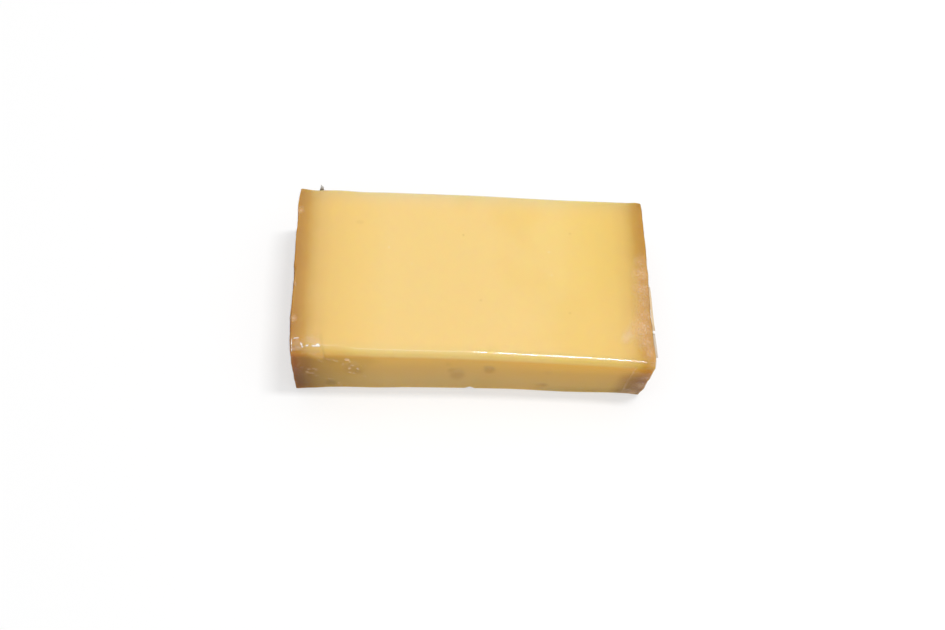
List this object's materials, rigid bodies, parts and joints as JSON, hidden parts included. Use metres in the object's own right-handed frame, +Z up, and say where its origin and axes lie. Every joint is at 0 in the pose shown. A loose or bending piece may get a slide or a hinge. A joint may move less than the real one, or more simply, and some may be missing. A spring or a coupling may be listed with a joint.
{
  "type": "comté cheese portion",
  "caption": "Flat slab of comté cheese sealed in tight clear film, with brown rind on both short ends and shallow eyes in its long cut sides.",
  "frame": {"origin": "centre of the foot of the bounding box, on the flat underside", "axes": "+Z up, +X along the slab towards its thinner rind end, -Y towards the long cut side with the eyes"},
  "size_m": [0.1156, 0.0614, 0.0276],
  "materials": {
    "cheese_paste": "smooth cut cheese, pale golden yellow, slightly translucent, browning towards the rind",
    "clear_film": "thin clear glossy packing film, drawn tight, with a few creases and trapped air"
  },
  "bodies": {
    "root": {"wrapped_cheese": "cheese_paste"}
  },
  "joints": []
}
